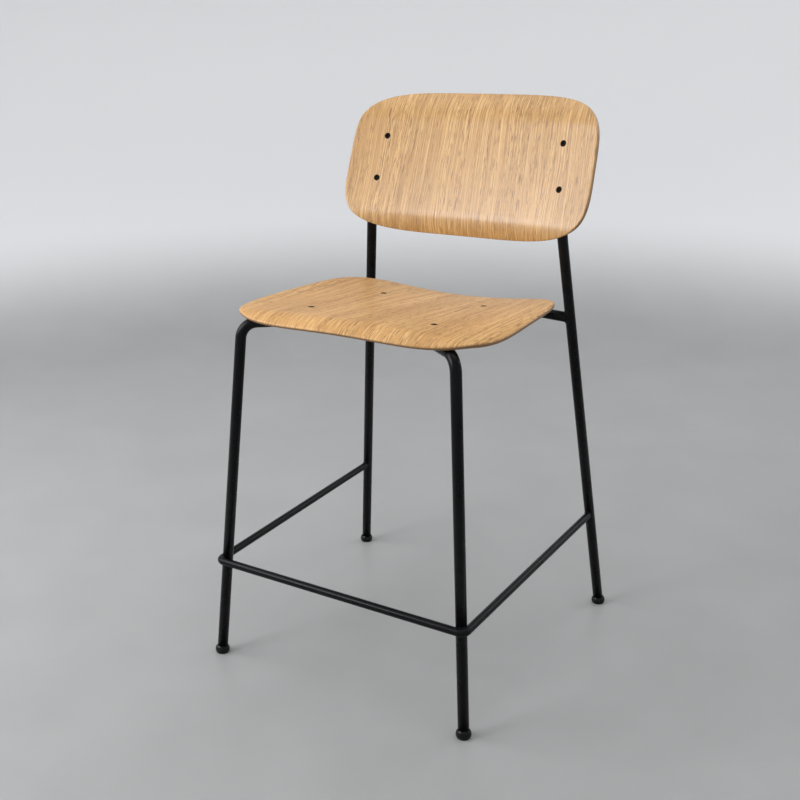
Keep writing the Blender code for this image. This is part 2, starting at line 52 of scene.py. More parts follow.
# %% Camera
CAMERA_PLACE = (0.9607, -1.6047, 1.0937)
CAMERA_YAW = radians(31.64)
CAMERA_PITCH = radians(18.67)  # downwards
CAMERA_ROLL = radians(-0.587)
CAMERA_LENS = 48.46  # millimetres, on a 36 mm sensor

lens = bpy.data.cameras.new("stool_camera")
lens.lens = CAMERA_LENS
lens.sensor_width = 36
camera = bpy.data.objects.new("stool_camera", lens)
bpy.context.scene.collection.objects.link(camera)
yaw = Matrix.Rotation(CAMERA_YAW, 4, "Z")
pitch = Matrix.Rotation(pi / 2 - CAMERA_PITCH, 4, "X")
roll = Matrix.Rotation(CAMERA_ROLL, 4, "Z")
camera.matrix_world = Matrix.Translation(CAMERA_PLACE) @ yaw @ pitch @ roll
bpy.context.scene.camera = camera
bpy.context.scene.view_settings.view_transform = "Standard"
print("camera looks along", [round(value, 3) for value in camera.matrix_world.to_3x3() @ Vector((0, 0, -1))])

# %% [markdown]
# ## Studio
# The light is that of a room with tall windows on the left: one big soft source beside the stool, a
# smaller one at its front left that picks out the backrest, a wide one overhead and a weak one behind it
# on the right. The pale world colour lifts the shadows as the walls of a room do.

# %% Soft boxes and air
def soft_box(name, place, aim, width, height, watts, tint):
    """A rectangular area light that faces a point."""
    light = bpy.data.lights.new(name, "AREA")
    light.shape = "RECTANGLE"
    light.size = width
    light.size_y = height
    light.energy = watts
    light.color = tint
    box = bpy.data.objects.new(name, light)
    bpy.context.scene.collection.objects.link(box)
    turn = (Vector(aim) - Vector(place)).to_track_quat("-Z", "Y")
    box.matrix_world = Matrix.Translation(place) @ turn.to_matrix().to_4x4()


STOOL_MIDDLE = (0, 0, 0.55)
BACKREST_MIDDLE = (0, 0.2, 0.86)
DAYLIGHT = (0.96, 0.98, 1.0)
WHITE = (1.0, 1.0, 1.0)
AIR_COLOUR = (0.90, 0.92, 0.95, 1)
AIR_STRENGTH = 0.58

soft_box("window_left", (-2.20, -1.10, 1.70), STOOL_MIDDLE, 1.4, 2.0, 34, DAYLIGHT)
soft_box("window_front", (-1.34, -1.90, 1.62), BACKREST_MIDDLE, 0.9, 0.9, 29, DAYLIGHT)
soft_box("ceiling", (0.10, 0.10, 2.90), STOOL_MIDDLE, 2.4, 2.4, 20, WHITE)
soft_box("rear_fill", (1.50, 2.30, 1.90), STOOL_MIDDLE, 1.6, 1.6, 14, DAYLIGHT)
air = bpy.data.worlds.new("studio_air")
air.use_nodes = True
air.node_tree.nodes["Background"].inputs["Color"].default_value = AIR_COLOUR
air.node_tree.nodes["Background"].inputs["Strength"].default_value = AIR_STRENGTH
bpy.context.scene.world = air

# %% [markdown]
# ## Turned shapes and where to put them
# The floor sweep, the screws, the spacers, the feet and the plugs are all round about one axis, so each
# is a short outline that is spun once round. Spinning leaves two seams, where the last step meets the
# first and on the axis itself, so the doubles are merged and the faces turned outwards straight away.

# %% Spin an outline
MERGE = 0.000001


def turned(outline, steps):
    """A shape spun from its (radius, height) outline about +Z."""
    shape = bmesh.new()
    points = [shape.verts.new((radius, 0, height)) for radius, height in outline]
    lines = [shape.edges.new(pair) for pair in zip(points, points[1:])]
    bmesh.ops.spin(
        shape, geom=points + lines, cent=(0, 0, 0), axis=(0, 0, 1), angle=2 * pi, steps=steps, use_merge=True
    )
    bmesh.ops.remove_doubles(shape, verts=shape.verts, dist=MERGE)
    bmesh.ops.recalc_face_normals(shape, faces=shape.faces)
    return shape


def placed(shape, matrix):
    """A copy of the shape, moved."""
    copy = shape.copy()
    bmesh.ops.transform(copy, matrix=matrix, verts=copy.verts)
    return copy


def standing(origin, axis, across=(0, 1, 0)):
    """A matrix with its +Z along the axis and its +X as near to across as that allows."""
    up = Vector(axis).normalized()
    side = up.cross(Vector(across)).normalized()
    return Matrix.Translation(origin) @ Matrix((side.cross(up), side, up)).transposed().to_4x4()


# %% [markdown]
# ## Shader maths
# A finish is a sum of small effects: a stretched noise for the fibres, another for the pores, and so on.
# Wired by hand that becomes a wall of nodes, so a small class wraps a socket: an expression such as
# 1 - pores then adds its own Math nodes, and one method adds any other node, settings first.

# %% Wires
class Wire:
    """One output socket of a finish."""

    def __init__(self, tree, socket):
        self.tree = tree
        self.socket = socket

    def node(self, kind, settings, inputs, output=0):
        made = self.tree.nodes.new("ShaderNode" + kind)
        for name, value in settings.items():
            setattr(made, name, value)
        for key, value in inputs.items():
            if isinstance(value, Wire):
                self.tree.links.new(value.socket, made.inputs[key])
            else:
                made.inputs[key].default_value = value
        return Wire(self.tree, made.outputs[output])

    def maths(self, operation, first, second=0.0):
        return self.node("Math", {"operation": operation}, {0: first, 1: second})

    def __add__(self, other):
        return self.maths("ADD", self, other)

    def __radd__(self, other):
        return self.maths("ADD", other, self)

    def __sub__(self, other):
        return self.maths("SUBTRACT", self, other)

    def __rsub__(self, other):
        return self.maths("SUBTRACT", other, self)

    def __mul__(self, other):
        return self.maths("MULTIPLY", self, other)

    def __rmul__(self, other):
        return self.maths("MULTIPLY", other, self)


# %% Noise, fades and mixes
def noise(place, across, along, depth, detail=2.0, roughness=0.5):
    """Noise with its own number of cells in a metre each way."""
    stretched = place.node("Mapping", {}, {"Vector": place, "Scale": (across, along, depth)})
    inputs = {"Vector": stretched, "Scale": 1.0, "Detail": detail, "Roughness": roughness}
    return place.node("TexNoise", {}, inputs)


def fade(value, low, high):
    """0 below low, 1 above high and a soft step between."""
    return value.node("MapRange", {"interpolation_type": "SMOOTHSTEP"}, {0: value, 1: low, 2: high})


def mix(share, first, second):
    """The first colour where share is 0 and the second where it is 1."""
    colours = [colour if isinstance(colour, Wire) else (*colour, 1) for colour in (first, second)]
    return share.node("Mix", {"data_type": "RGBA"}, {0: share, 6: colours[0], 7: colours[1]}, 2)


def bump(height, distance, strength):
    return height.node("Bump", {}, {"Height": height, "Distance": distance, "Strength": strength})


def new_finish(name):
    """A material, its shader and the object coordinates to build on."""
    material = bpy.data.materials.new(name)
    material.use_nodes = True
    tree = material.node_tree
    shader = tree.nodes["Principled BSDF"]
    place = Wire(tree, tree.nodes.new("ShaderNodeTexCoord").outputs["Object"])
    return material, shader, place


def dress(shader, **sockets):
    """Wires or plain numbers into the shader's sockets, by their names with _ for a space."""
    for name, value in sockets.items():
        socket = shader.inputs[name.replace("_", " ")]
        if isinstance(value, Wire):
            value.tree.links.new(value.socket, socket)
        else:
            socket.default_value = value


# %% [markdown]
# ## Floor
# A plain pale floor that curves up far behind the stool has no corner to draw the eye. Its outline is
# a straight run, a quarter of a circle and a low wall, and one spin makes the whole bowl.

# %% Floor sweep
SWEEP_RADIUS = 3.4
SWEEP_BEND = 1.4
SWEEP_HEIGHT = 2.6
BEND_PARTS = 12
SWEEP_STEPS = 96
FADE_TO_WALL = 0.35  # height at which the grey floor has become the pale wall

quarter = [pi / 2 * part / BEND_PARTS for part in range(BEND_PARTS + 1)]
flat = SWEEP_RADIUS - SWEEP_BEND
outline = [(0, 0)] + [(flat + SWEEP_BEND * sin(turn), SWEEP_BEND * (1 - cos(turn))) for turn in quarter]
shape = turned(outline + [(SWEEP_RADIUS, SWEEP_HEIGHT)], SWEEP_STEPS)
bmesh.ops.reverse_faces(shape, faces=shape.faces)  # a bowl is seen from inside
mesh = bpy.data.meshes.new("floor_sweep")
shape.to_mesh(mesh)
shape.free()
mesh.shade_smooth()
floor = bpy.data.objects.new("floor_sweep", mesh)
bpy.context.scene.collection.objects.link(floor)

floor_paint, shader, place = new_finish("floor_paint")
cloud = noise(place, 4, 4, 4, 5)
height = place.node("SeparateXYZ", {}, {0: place}, "Z")
screed = mix(cloud, (0.31, 0.31, 0.305), (0.39, 0.39, 0.385))
dress(
    shader,
    Base_Color=mix(fade(height, 0.0, FADE_TO_WALL), screed, (0.82, 0.82, 0.825)),
    Roughness=0.32 + 0.14 * cloud,
)
mesh.materials.append(floor_paint)
print("floor sweep", len(mesh.polygons), "faces")

# %% [markdown]
# ## Oak veneer
# Sliced oak has broad soft bands of tone, finer year lines, fibres, and above all pores: short dark
# dashes that crowd into the early wood of each year, with a few pale rays between them. Each is a noise
# stretched along the grain. Every sheet gets its own turn, so that the fibres run from front to back on
# the seat and up the backrest, and its own tones, since no two sheets of a stack match. The moulding
# cuts the plies at the rim, so an attribute holds how deep a point lies and shows the layers there. The
# cut plies are painted darker than their own end grain, as painted shade for the rounded rim's underside.

# %% Oak finish
PLY = 0.00114  # thickness of one layer
RIM_STARTS = (0.0020, 0.0024)  # depth where the cut plies take over from the face veneer
RIM_ENDS = (0.0068, 0.0072)


def oak(name, turn, tones, seed, gloss):
    """Lacquered oak with its grain along the turned Y, in four tones from pale to dark."""
    pale, light, mid, dark = tones
    material, shader, place = new_finish(name)
    sheet = place.node("Mapping", {}, {"Vector": place, "Rotation": turn, "Location": (seed, seed, seed)})
    sway = noise(sheet, 5.0, 1.8, 2.0, 2)
    shift = sheet.node("CombineXYZ", {}, {"X": 0.045 * sway})
    grain = sheet.node("VectorMath", {"operation": "ADD"}, {0: sheet, 1: shift})

    bands = fade(noise(grain, 20, 0.9, 6, 2), 0.34, 0.66)
    waves = fade(noise(grain, 62, 1.3, 8, 2), 0.42, 0.62)
    years = fade(noise(grain, 240, 1.3, 12, 3, 0.65), 0.42, 0.62)
    fibres = noise(grain, 950, 7, 40, 3, 0.6)
    early = fade(noise(grain, 115, 1.5, 10, 2), 0.38, 0.60)
    dashes = fade(noise(grain, 780, 40, 60, 1), 0.53, 0.67) * (0.25 + 0.75 * early)
    pores = fade(noise(grain, 2100, 120, 150, 1), 0.56, 0.70) * (0.30 + 0.70 * early)
    slanted = sheet.node("Mapping", {}, {"Vector": grain, "Rotation": (0, 0, -0.03)})
    rays = fade(noise(slanted, 520, 4.5, 50, 2, 0.6), 0.50, 0.70)

    tone = mix(bands, mid, light)
    tone = mix(0.45 * waves, tone, mid)
    tone = mix(0.85 * years, tone, mid)
    tone = mix(fade(fibres, 0.40, 0.62) * 0.46, tone, dark)
    tone = mix(0.70 * rays, tone, pale)
    tone = mix(0.95 * dashes, tone, dark)
    tone = mix(0.45 * pores, tone, tuple(0.62 * part for part in dark))

    deep = place.node("Attribute", {"attribute_name": "depth"}, {}, "Fac")
    layers = fade(deep.maths("PINGPONG", deep, PLY), 0.35 * PLY, 0.65 * PLY)
    # The cut plies' browns are partly their own end grain and partly painted shade, darkened so the rim
    # reads as shaded underneath.
    ply_edge_and_shade = mix(layers, (0.17, 0.092, 0.043), (0.36, 0.215, 0.105))
    ply_edge_and_shade = mix(0.4 * noise(place, 900, 900, 900, 2), ply_edge_and_shade, (0.12, 0.060, 0.028))
    rim = fade(deep, *RIM_STARTS) * (1 - fade(deep, *RIM_ENDS))

    relief = 0.5 * fibres - 0.7 * dashes - pores
    dress(
        shader,
        Base_Color=mix(rim, tone, ply_edge_and_shade),
        Roughness=0.40 + 0.16 * fibres + 0.14 * pores + 0.10 * rim,
        Normal=bump(relief, 0.00012, 0.55),
        Coat_Weight=gloss,
        Coat_Roughness=0.27,
        Specular_IOR_Level=0.36,
    )
    return material


BACK_LEAN = 0.3683  # how far the backrest goes to the rear as it rises, per metre
SEAT_TONES = ((0.84, 0.535, 0.235), (0.76, 0.440, 0.167), (0.57, 0.302, 0.102), (0.25, 0.115, 0.033))
BACK_TONES = ((0.82, 0.545, 0.245), (0.65, 0.378, 0.138), (0.49, 0.264, 0.084), (0.24, 0.110, 0.031))

seat_oak = oak("seat_oak", (0, 0, 0), SEAT_TONES, 3.1, 0.05)
back_oak = oak("back_oak", (atan(BACK_LEAN) - pi / 2, 0, 0), BACK_TONES, 7.4, 0.65)
print("oak finishes", seat_oak.name, back_oak.name)

# %% [markdown]
# ## Black finishes
# The steel is powder coated: satin black with the faint dimples that coaters call orange peel. Feet,
# plugs and spacers are moulded nylon, a touch warmer and grained by the mould. The screws are blackened
# steel, duller than the rest, and the threaded inserts in the tubes are zinc plated.

# %% Black coat, plastic, screws and zinc
def coat(name, dark, pale, peel_size, gloss, shine, dust, metal=0.0):
    """A black finish with dimples, cloudy gloss and a little dust or rubbing."""
    material, shader, place = new_finish(name)
    peel = noise(place, peel_size, peel_size, peel_size, 1)
    cloud = fade(noise(place, 22, 22, 22, 3), 0.3, 0.7)
    rubbed = fade(noise(place, 260, 260, 60, 3), 0.66, 0.80)
    tone = mix(cloud, dark, pale)
    dress(
        shader,
        Base_Color=mix(dust * rubbed, tone, (0.10, 0.10, 0.10)),
        Roughness=gloss + 0.08 * cloud + 0.12 * rubbed,
        Specular_IOR_Level=shine,
        Normal=bump(peel, 0.00008, 0.5),
        Metallic=metal,
    )
    return material


COAT_BLACKS = ((0.0026, 0.0026, 0.0032), (0.0045, 0.0045, 0.0052))
NYLON_BLACKS = ((0.0030, 0.0029, 0.0028), (0.0052, 0.0051, 0.0049))
SCREW_BLACKS = ((0.0060, 0.0050, 0.0042), (0.0110, 0.0090, 0.0075))

powder_coat = coat("satin_powder_coat", *COAT_BLACKS, 1100, 0.25, 0.13, 0.04)
nylon = coat("moulded_nylon", *NYLON_BLACKS, 3200, 0.24, 0.18, 0.04)
black_steel = coat("blackened_screw", *SCREW_BLACKS, 5200, 0.55, 0.05, 0.10, 0.04)

zinc, shader, place = new_finish("zinc_plate")
spangle = noise(place, 1500, 1500, 1500, 2)
dress(
    shader,
    Base_Color=mix(spangle, (0.42, 0.43, 0.45), (0.62, 0.63, 0.66)),
    Roughness=0.28 + 0.2 * spangle,
    Metallic=1.0,
    Normal=bump(spangle, 0.00004, 0.4),
)
print("finishes", [material.name for material in (powder_coat, nylon, black_steel, zinc)])


# %% [markdown]
# ## Finishing a piece
# Every piece ends the same way: its shape becomes a mesh, flat areas stay crisp and round ones smooth,
# it rides with the stool and it stands for its CAD pieces. Holes are cut while a piece is still being
# made, and the result is baked into its mesh, so that no helper has to stay in the scene.

# %% Make and carve
def new_object(name, shape):
    mesh = bpy.data.meshes.new(name)
    shape.to_mesh(mesh)
    shape.free()
    made = bpy.data.objects.new(name, mesh)
    bpy.context.scene.collection.objects.link(made)
    return made


def settle(made):
    """Bakes an object's modifiers into its mesh."""
    graph = bpy.context.evaluated_depsgraph_get()
    rough = made.data
    made.data = bpy.data.meshes.new_from_object(made.evaluated_get(graph))
    made.data.name = made.name
    made.modifiers.clear()
    bpy.data.meshes.remove(rough)


def carve(made, cutter):
    """Cuts a shape out of an object."""
    tool = new_object(made.name + "_cutter", cutter)
    step = made.modifiers.new("carve", "BOOLEAN")
    step.operation = "DIFFERENCE"
    step.solver = "EXACT"
    step.object = tool
    settle(made)
    bpy.data.objects.remove(tool)


def finish_piece(made, material, nodes):
    """Gives a made piece its finish and its place in the stool."""
    made.data.materials.clear()
    made.data.materials.append(material)
    made.data.shade_smooth()
    made.data.set_sharp_from_angle(angle=radians(35))
    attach(made, "root")
    if nodes:
        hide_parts(*nodes)
    print(made.name, len(made.data.polygons), "faces")
    return made


# %% [markdown]
# ## The two shells
# Both shells are seven thin plies pressed in a mould. Their faces are smooth curved sheets, so each is
# described by a formula: a point on the plan and how high, or how far back, the sheet is there. A grid
# with soft corners is laid over it, gets its thickness away from the sitter, and its rim is rounded.

# %% Seat surface
SHELL_THICKNESS = 0.0080
SEAT_HEIGHT = 0.6392
SEAT_HALF_WIDTH = 0.2449
SEAT_TAPER = -0.0176
SEAT_FRONT_Y = -0.2416
SEAT_REAR_Y = 0.1848
SEAT_CORNER_POWER = 4.3
SEAT_TILT = -0.0966
SEAT_DISH = 0.0073
SEAT_DISH_GAIN = 0.0219
SEAT_LIP_DROP = 0.0174
SEAT_LIP_LENGTH = 0.0460
SEAT_MIDDLE_Y = (SEAT_FRONT_Y + SEAT_REAR_Y) / 2
SEAT_HALF_DEPTH = (SEAT_REAR_Y - SEAT_FRONT_Y) / 2


def seat_point(x, y):
    """The seat's upper face."""
    dish = SEAT_DISH + SEAT_DISH_GAIN * (y - SEAT_MIDDLE_Y) / SEAT_HALF_DEPTH
    lip = max(0, (SEAT_FRONT_Y + SEAT_LIP_LENGTH - y) / SEAT_LIP_LENGTH)
    z = SEAT_HEIGHT + SEAT_TILT * y + dish * (x / SEAT_HALF_WIDTH) ** 2 - SEAT_LIP_DROP * lip**2
    return Vector((x, y, z))


print("seat height at its middle", round(seat_point(0, 0).z, 3))

# %% Backrest surface
BACK_CENTRE_Y = 0.2142
BACK_CENTRE_Z = SEAT_HEIGHT + 0.2225
BACK_HALF_WIDTH = 0.2547
BACK_HALF_HEIGHT = 0.1282
BACK_TAPER = -0.0036
BACK_TOP_CORNER_POWER = 4.9
BACK_BOTTOM_CORNER_POWER = 3.7
BACK_WRAP = 0.4268
BACK_TOP_ROLL = 0.0214
BACK_TOP_ROLL_LENGTH = 0.0515
BACK_BOTTOM_ROLL = 0.0170
BACK_BOTTOM_ROLL_LENGTH = 0.0460


def back_point(x, rise):
    """The backrest's front face, at a height above its centre."""
    top = max(0, 1 - (BACK_HALF_HEIGHT - rise) / BACK_TOP_ROLL_LENGTH)
    bottom = max(0, 1 - (BACK_HALF_HEIGHT + rise) / BACK_BOTTOM_ROLL_LENGTH)
    y = BACK_CENTRE_Y + BACK_LEAN * rise - BACK_WRAP * x**2
    y += BACK_TOP_ROLL * top**2 + BACK_BOTTOM_ROLL * bottom**2
    return Vector((x, y, BACK_CENTRE_Z + rise))


print("backrest sides come forward by", round(BACK_WRAP * BACK_HALF_WIDTH**2, 3))

# %% Face normals and soft-cornered plans
SURFACE_STEP = 0.0005


def face_normal(surface, x, onward):
    """The direction out of a shell's face, towards the sitter."""
    across = surface(x + SURFACE_STEP, onward) - surface(x - SURFACE_STEP, onward)
    along = surface(x, onward + SURFACE_STEP) - surface(x, onward - SURFACE_STEP)
    return across.cross(along).normalized()


def rounded(u, v, lower_power, upper_power):
    """Moves a point of the square from -1 to 1 into a square with soft corners."""
    reach = max(abs(u), abs(v))
    if reach == 0:
        return 0, 0
    power = upper_power if v > 0 else lower_power
    shrink = (abs(u / reach) ** power + abs(v / reach) ** power) ** (-1 / power)
    return u * shrink, v * shrink


def seat_plan(u, v):
    u, v = rounded(u, v, SEAT_CORNER_POWER, SEAT_CORNER_POWER)
    return seat_point(u * (SEAT_HALF_WIDTH + SEAT_TAPER * v), SEAT_MIDDLE_Y + SEAT_HALF_DEPTH * v)


def back_plan(u, v):
    u, v = rounded(u, v, BACK_BOTTOM_CORNER_POWER, BACK_TOP_CORNER_POWER)
    return back_point(u * (BACK_HALF_WIDTH + BACK_TAPER * v), BACK_HALF_HEIGHT * v)


# %% [markdown]
# ## Where the fixings sit
# Four countersunk screws hold each shell. Each is square to the face at its own place, and runs through
# the ply and a spacer into a threaded insert in the tube. So one place on a shell gives everything: the
# point on the face, the direction out of it and the point on the tube's centre line behind it.

# %% Fixing places
TUBE_RADIUS = 0.0095
TUBE_WALL = 0.0015
SEAT_SPACER = 0.0025
BACK_SPACER = 0.0080
RAIL_AHEAD = 0.0270  # from the front seat screw to the rail's front end
RAIL_BEHIND = 0.1300  # from the rear seat screw to the rail's rear end
REAR_BEND_RISE = 0.1158  # height of the rear legs' bend above the seat
SIDES = (("left", -1), ("right", 1))
SEAT_ROWS = (("front", (0.1223, -0.1364)), ("rear", (0.1053, 0.0713)))
BACK_ROWS = (("upper", (0.1842, 0.0485)), ("lower", (0.1918, -0.0289)))


def mirrored(point, side):
    return Vector((side * point[0], point[1], point[2]))


def fixing(surface, place, spacer, side):
    """(point on the face, direction out of it, point on the tube's centre line)"""
    face = surface(*place)
    normal = face_normal(surface, *place)
    centre = face - normal * (SHELL_THICKNESS + spacer + TUBE_RADIUS)
    return [mirrored(vector, side) for vector in (face, normal, centre)]


def rail_corners():
    """Where the right rail under the seat starts and ends."""
    front, rear = (fixing(seat_point, place, SEAT_SPACER, 1)[2] for _, place in SEAT_ROWS)
    run = (rear - front).normalized()
    return front - run * RAIL_AHEAD, rear + run * RAIL_BEHIND


def rear_bend():
    """The corner where the right rear leg turns into the upright."""
    upper, lower = (fixing(back_point, place, BACK_SPACER, 1)[2] for _, place in BACK_ROWS)
    share = (SEAT_HEIGHT + REAR_BEND_RISE - lower.z) / (upper.z - lower.z)
    return lower + (upper - lower) * share


rail_front, rail_rear = rail_corners()
rail_run = (rail_rear - rail_front).normalized()
upright_run = (fixing(back_point, BACK_ROWS[0][1], BACK_SPACER, 1)[2] - rear_bend()).normalized()
GROUPS = (
    ("seat", seat_point, SEAT_ROWS, SEAT_SPACER, rail_run),
    ("back", back_point, BACK_ROWS, BACK_SPACER, upright_run),
)
print("rail runs along", [round(value, 3) for value in rail_run])

# %% [markdown]
# ## Shells from a grid
# A grid from -1 to 1 is the simplest sheet: moving its points by the plan gives the moulded face, and
# Solidify and Bevel make the rim as a shop does, first thickness and then a cutter run round the edge.
# The screw holes are a turned cutter: a shank hole, the cone for the head and a short straight mouth.

# %% Hole cutter
SCREW_RADIUS = 0.0030
HEAD_RADIUS = 0.0056
HEAD_HEIGHT = 0.0031
HEAD_RIM = 0.0004
HEAD_SINK = 0.0003
HEAD_PROUD = 0.0002  # how far a tightened head stands above the veneer
HOLE_PLAY = 0.0003
HOLE_STEPS = 48

hole = turned(
    [
        (0, SHELL_THICKNESS),
        (HEAD_RADIUS + 2 * HOLE_PLAY, SHELL_THICKNESS),
        (HEAD_RADIUS + 2 * HOLE_PLAY, 0.0001),
        (HEAD_RADIUS + HOLE_PLAY, -HOLE_PLAY),
        (HEAD_RADIUS + HOLE_PLAY, -HEAD_SINK - HEAD_RIM),
        (SCREW_RADIUS + HOLE_PLAY, -HEAD_SINK - HEAD_HEIGHT),
        (SCREW_RADIUS + HOLE_PLAY, -2 * SHELL_THICKNESS),
        (0, -2 * SHELL_THICKNESS),
    ],
    HOLE_STEPS,
)
print("hole cutter", len(hole.faces), "faces")


# %% Pressed shell
RIM_ROUNDING = 0.0032
RIM_PARTS = 5


def press_shell(name, plan, cells_across, cells_along):
    """A moulded sheet with its thickness and a rounded rim."""
    shape = bmesh.new()
    bmesh.ops.create_grid(shape, x_segments=cells_across, y_segments=cells_along, size=1)
    for corner in shape.verts:
        corner.co = plan(corner.co.x, corner.co.y)
    made = new_object(name, shape)
    plies = made.modifiers.new("plies", "SOLIDIFY")
    plies.thickness = SHELL_THICKNESS
    plies.offset = -1
    plies.use_even_offset = True
    rim = made.modifiers.new("rounded_rim", "BEVEL")
    rim.width = RIM_ROUNDING
    rim.segments = RIM_PARTS
    rim.limit_method = "ANGLE"
    rim.angle_limit = radians(50)
    settle(made)
    return made


def drill(made, surface, rows, spacer):
    """Cuts all four screw holes of a shell at once."""
    cutters = bmesh.new()
    loose = bpy.data.meshes.new("loose")
    for _, side in SIDES:
        for _, place in rows:
            face, normal, _ = fixing(surface, place, spacer, side)
            one = placed(hole, standing(face, normal))
            one.to_mesh(loose)
            one.free()
            cutters.from_mesh(loose)
    bpy.data.meshes.remove(loose)
    carve(made, cutters)


def note_depth(made, surface, onward_of):
    """Stores how deep below the sitter's face each point lies."""
    depth = made.data.attributes.new("depth", "FLOAT", "POINT")
    for index, vertex in enumerate(made.data.vertices):
        onward = onward_of(vertex.co)
        face = surface(vertex.co.x, onward)
        depth.data[index].value = (face - vertex.co).dot(face_normal(surface, vertex.co.x, onward))


# %% Seat
seat = press_shell("seat_shell_pressed", seat_plan, 104, 96)
drill(seat, seat_point, SEAT_ROWS, SEAT_SPACER)
note_depth(seat, seat_point, lambda point: point.y)
finish_piece(seat, seat_oak, ["seat_shell"])

# %% Backrest
backrest = press_shell("backrest_shell_pressed", back_plan, 120, 72)
drill(backrest, back_point, BACK_ROWS, BACK_SPACER)
note_depth(backrest, back_point, lambda point: point.z - BACK_CENTRE_Z)
finish_piece(backrest, back_oak, ["backrest_shell"])

# %% [markdown]
# ## Bent tubes
# Each side of the frame is two lengths of 19 mm tube: one is front leg, rail under the seat and a stub
# back to the rear leg, and the other is rear leg and upright. A bender gives each corner a round bend,
# so the path is straight runs joined by arcs. A ring is then pushed along it, extruded and turned from
# point to point, and Solidify gives the tube its wall, which shows only where an end is open.

# %% Paths with round bends
BEND_STEP = radians(4)


def arc(before, corner, after, radius):
    """Points of the round bend that takes the corner's place."""
    arrive = (before - corner).normalized()
    leave = (after - corner).normalized()
    half = arrive.angle(leave) / 2
    turn = pi - 2 * half
    centre = corner + (arrive + leave).normalized() * radius / sin(half)
    start = corner + arrive * radius / tan(half) - centre
    end = corner + leave * radius / tan(half) - centre
    steps = ceil(turn / BEND_STEP)
    shares = [step / steps for step in range(steps + 1)]
    return [centre + (start * sin((1 - t) * turn) + end * sin(t * turn)) / sin(turn) for t in shares]


def bent_path(corners, radii):
    path = [corners[0]]
    for before, corner, after, radius in zip(corners, corners[1:], corners[2:], radii):
        path.extend(arc(before, corner, after, radius))
    return path + [corners[-1]]


# %% Push a ring along a path
def stations(path, closed):
    """A matrix at each point, +Z along the path, with no twist from one to the next."""
    made = []
    for index, point in enumerate(path):
        ahead = path[(index + 1) % len(path)] - point
        behind = point - path[index - 1]
        if not closed and index == 0:
            behind = ahead
        if not closed and index == len(path) - 1:
            ahead = behind
        run = (ahead.normalized() + behind.normalized()).normalized()
        turn = last_run.rotation_difference(run) @ turn if made else run.to_track_quat("Z", "Y")
        last_run = run
        made.append(Matrix.Translation(point) @ turn.to_matrix().to_4x4())
    return made


def sweep(path, radius, sides, closed=False, swell=None):
    """A ring of that radius pushed along the path, and scaled by swell at each point."""
    swell = swell or [1] * len(path)
    places = [place @ Matrix.Scale(scale, 4) for place, scale in zip(stations(path, closed), swell)]
    shape = bmesh.new()
    bmesh.ops.create_circle(shape, segments=sides, radius=radius, matrix=places[0])
    first = shape.edges[:]
    front = first
    for here, there in zip(places, places[1:]):
        grown = bmesh.ops.extrude_edge_only(shape, edges=front)["geom"]
        corners = [item for item in grown if isinstance(item, bmesh.types.BMVert)]
        front = [item for item in grown if isinstance(item, bmesh.types.BMEdge) and item.is_boundary]
        bmesh.ops.transform(shape, matrix=there @ here.inverted(), verts=corners)
    if closed:
        bmesh.ops.bridge_loops(shape, edges=first + front)
    bmesh.ops.recalc_face_normals(shape, faces=shape.faces)
    return shape


# %% Corners of the frame
GAP = 0.0003
FRONT_BEND = 0.0300
FRONT_FOOT = Vector((0.2573, -0.2742, 0))
FRONT_CORNER = (0.2086, -0.2215)
REAR_FOOT = Vector((0.2814, 0.2586, 0))
GLIDE_HEAD = 0.0140  # the part of a foot below its tube
LIP_GAP = 0.0030  # between the seat's lip and the tube where it turns in
RAIL_BENDS = (0.0420, 0.0720)  # radii of the rail's front and rear bends
REAR_BEND = 0.0600
STUB_DROP = 0.0065  # how far the stub falls on its way to the rear leg
UPRIGHT_ABOVE = 0.0300  # length of the upright above its top screw


def front_corner():
    """Where the right front leg turns in under the seat's lip."""
    corner = Vector((*FRONT_CORNER, 0))
    share = FRONT_BEND / (rail_front - corner).to_2d().length
    bend_end = corner.lerp(rail_front, share)
    depth = SHELL_THICKNESS + LIP_GAP + TUBE_RADIUS
    under = seat_point(bend_end.x, bend_end.y) - face_normal(seat_point, bend_end.x, bend_end.y) * depth
    corner.z = (under.z - rail_front.z * share) / (1 - share)
    return corner


def leg_at(foot, top, z):
    """A leg's centre line at a height."""
    return foot + (top - foot) * z / top.z


FRONT_TOP = front_corner()
REAR_TOP = rear_bend()
print("front legs turn at", round(FRONT_TOP.z, 3), "and rear legs at", round(REAR_TOP.z, 3))


# %% Side tubes and rear legs
def above_foot(foot, top):
    return foot + (top - foot).normalized() * (GLIDE_HEAD + GAP)


def tube_piece(name, path, nodes):
    made = new_object(name, sweep(path, TUBE_RADIUS, 40))
    wall = made.modifiers.new("wall", "SOLIDIFY")
    wall.thickness = TUBE_WALL
    wall.offset = -1
    return finish_piece(made, powder_coat, nodes)


stub_end = leg_at(REAR_FOOT, REAR_TOP, rail_rear.z - STUB_DROP)
side_corners = [above_foot(FRONT_FOOT, FRONT_TOP), FRONT_TOP, rail_front, rail_rear, stub_end]
upright_top = fixing(back_point, BACK_ROWS[0][1], BACK_SPACER, 1)[2] + upright_run * UPRIGHT_ABOVE
rear_corners = [above_foot(REAR_FOOT, REAR_TOP), REAR_TOP, upright_top]
for label, side in SIDES:
    path = bent_path([mirrored(point, side) for point in side_corners], (FRONT_BEND, *RAIL_BENDS))
    tube_piece("side_tube_" + label + "_bent", path, ["side_tube_" + label])
    path = bent_path([mirrored(point, side) for point in rear_corners], (REAR_BEND,))
    tube_piece("rear_leg_" + label + "_bent", path, ["rear_leg_" + label])

